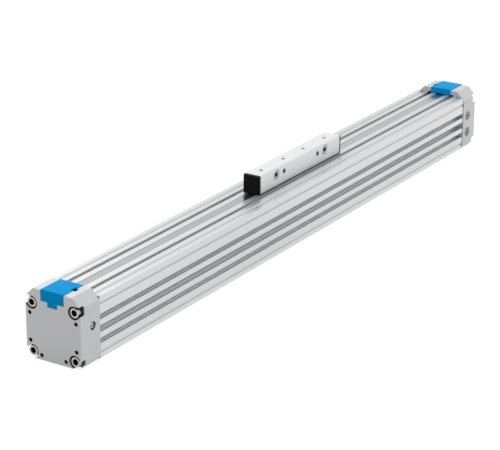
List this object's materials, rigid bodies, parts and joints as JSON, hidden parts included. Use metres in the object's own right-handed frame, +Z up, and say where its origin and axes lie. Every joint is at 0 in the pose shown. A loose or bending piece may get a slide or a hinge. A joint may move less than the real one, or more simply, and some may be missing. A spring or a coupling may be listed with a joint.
{
  "type": "rodless pneumatic cylinder",
  "caption": "Slotted square barrel between two end caps, with a sealing band along its top and a long driver block that air pressure pushes along the barrel.",
  "frame": {"origin": "on the ground plane under the middle of the barrel, at the centre of the end caps' footprint", "axes": "+X along the barrel towards the cap whose open ports face the front, -Y is the front that the picture shows, +Z up out of the slot"},
  "size_m": [0.78, 0.063, 0.0846],
  "materials": {
    "anodised_aluminium": "satin clear anodised extrusion",
    "cap_aluminium": "fine matt, die cast and anodised",
    "driver_aluminium": "satin anodised",
    "machined_aluminium": "machined",
    "band_steel": "bright rolled stainless strip",
    "plated_steel": "bright nickel plated",
    "screw_steel": "zinc plated",
    "band_polyurethane": "smooth dark polyurethane",
    "seal_rubber": "matt black nitrile",
    "guide_plastic": "natural acetal",
    "black_plastic": "matt black moulded",
    "blue_plastic": "smooth bright blue moulded",
    "magnet_rubber": "dark brown flexible magnet strip",
    "magnet_plastic": "dark grey bonded magnet"
  },
  "bodies": {
    "barrel": {"barrel_profile": "anodised_aluminium", "band_magnets": "magnet_rubber", "cover_band": "band_steel", "sealing_band": "band_polyurethane", "port_plugs": "plated_steel", "left_end_cap": "cap_aluminium", "left_cap_screws": "screw_steel", "left_cushion_spigot": "machined_aluminium", "left_cap_seal": "seal_rubber", "left_channel_seals": "seal_rubber", "left_band_anchor": "machined_aluminium", "left_band_clamp": "plated_steel", "left_clamp_screws": "screw_steel", "left_band_cover": "blue_plastic", "right_end_cap": "cap_aluminium", "right_cap_screws": "screw_steel", "right_cushion_spigot": "machined_aluminium", "right_cap_seal": "seal_rubber", "right_channel_seals": "seal_rubber", "right_band_anchor": "machined_aluminium", "right_band_clamp": "plated_steel", "right_clamp_screws": "screw_steel", "right_band_cover": "blue_plastic"},
    "carriage": {"piston_yoke": "machined_aluminium", "driver_block": "driver_aluminium", "driver_screws": "screw_steel", "front_slide_strip": "black_plastic", "back_slide_strip": "black_plastic", "left_piston_head": "machined_aluminium", "left_head_screw": "screw_steel", "left_piston_seal": "seal_rubber", "left_wear_ring": "guide_plastic", "left_piston_magnet": "magnet_plastic", "left_cushion_seal": "seal_rubber", "left_sealing_band_guide": "guide_plastic", "left_driver_plate": "black_plastic", "left_cover_band_guide": "black_plastic", "right_piston_head": "machined_aluminium", "right_head_screw": "screw_steel", "right_piston_seal": "seal_rubber", "right_wear_ring": "guide_plastic", "right_piston_magnet": "magnet_plastic", "right_cushion_seal": "seal_rubber", "right_sealing_band_guide": "guide_plastic", "right_driver_plate": "black_plastic", "right_cover_band_guide": "black_plastic"},
    "left_needle": {"left_cushion_screw": "plated_steel"},
    "right_needle": {"right_cushion_screw": "plated_steel"}
  },
  "joints": [
    {"name": "carriage_slide", "type": "slide", "parent": "barrel", "child": "carriage", "axis": [1, 0, 0], "range_m": [-0.276, 0.224], "deforming": ["cover_band", "sealing_band"]},
    {"name": "left_cushion_turn", "type": "hinge", "parent": "barrel", "child": "left_needle", "pos_m": [-0.3712, -0.03, 0.0384], "axis": [0, -1, 0], "range_deg": [-540, 540]},
    {"name": "right_cushion_turn", "type": "hinge", "parent": "barrel", "child": "right_needle", "pos_m": [0.3712, 0.03, 0.0384], "axis": [0, 1, 0], "range_deg": [-540, 540]}
  ]
}
